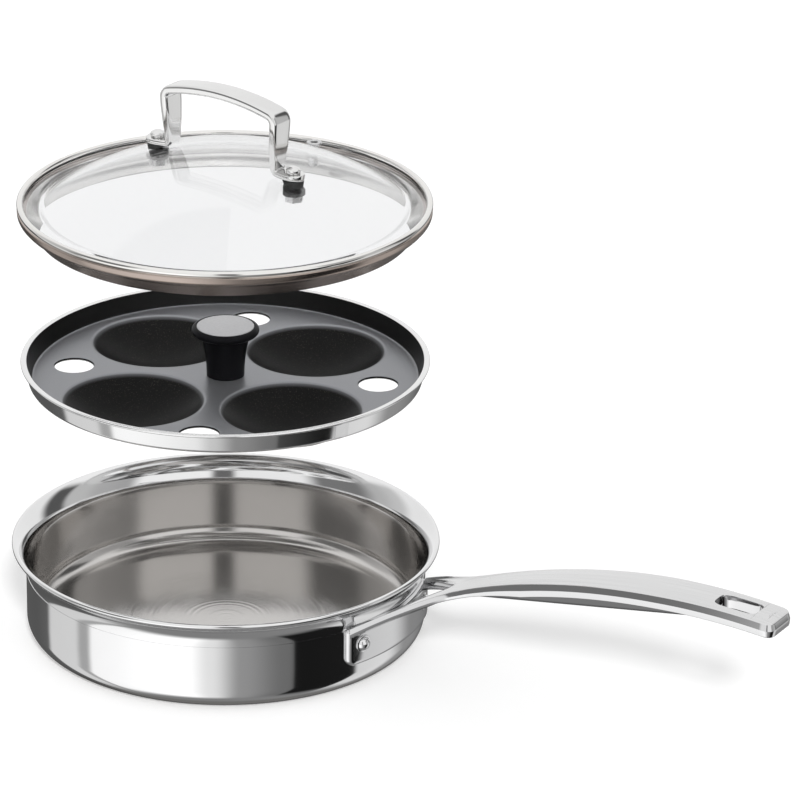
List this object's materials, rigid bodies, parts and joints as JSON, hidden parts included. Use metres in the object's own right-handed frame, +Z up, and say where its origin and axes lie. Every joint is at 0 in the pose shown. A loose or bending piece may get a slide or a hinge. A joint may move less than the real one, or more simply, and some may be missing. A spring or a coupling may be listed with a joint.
{
  "type": "egg poacher pan",
  "caption": "Round steel pan with a long forked handle, a lift-out tray of egg cups with a centre knob, and a domed glass lid with an arched handle.",
  "frame": {"origin": "centre of the pan's flat underside", "axes": "+Z up along the pan's axis, +X along the long handle, away from the pan"},
  "size_m": [0.4285, 0.219, 0.2927],
  "materials": {
    "pan_steel": "polished outside, satin inside",
    "handle_steel": "cast and polished",
    "rivet_steel": "polished",
    "tray_coated": "non-stick coating inside, bright rim and skirt",
    "knob_dark": "satin",
    "knob_disc": "satin",
    "fixing_steel": "plain",
    "lid_glass": "clear, tempered",
    "lid_band": "polished",
    "lid_handle_steel": "polished",
    "gasket_black": "matt"
  },
  "bodies": {
    "pan": {"pan_body": "pan_steel", "pan_handle": "handle_steel", "handle_rivet_left": "rivet_steel", "handle_rivet_right": "rivet_steel"},
    "tray": {"tray_insert": "tray_coated", "knob_grip": "knob_dark", "knob_top_disc": "knob_disc", "knob_washer": "fixing_steel", "knob_screw": "fixing_steel"},
    "lid": {"lid_glass": "lid_glass", "lid_rim": "lid_band", "lid_handle": "lid_handle_steel", "lid_bolt_left": "lid_handle_steel", "lid_bolt_right": "lid_handle_steel", "lid_gasket_left": "gasket_black", "lid_gasket_right": "gasket_black", "lid_seal_left": "gasket_black", "lid_seal_right": "gasket_black", "lid_nut_left": "fixing_steel", "lid_nut_right": "fixing_steel", "steam_vent": "fixing_steel"}
  },
  "joints": [
    {"name": "tray_lift", "type": "slide", "parent": "pan", "child": "tray", "axis": [0, 0, 1], "range_m": [-0.1022, 0]},
    {"name": "lid_lift", "type": "slide", "parent": "tray", "child": "lid", "axis": [0, 0, 1], "range_m": [-0.07695, 0]}
  ]
}
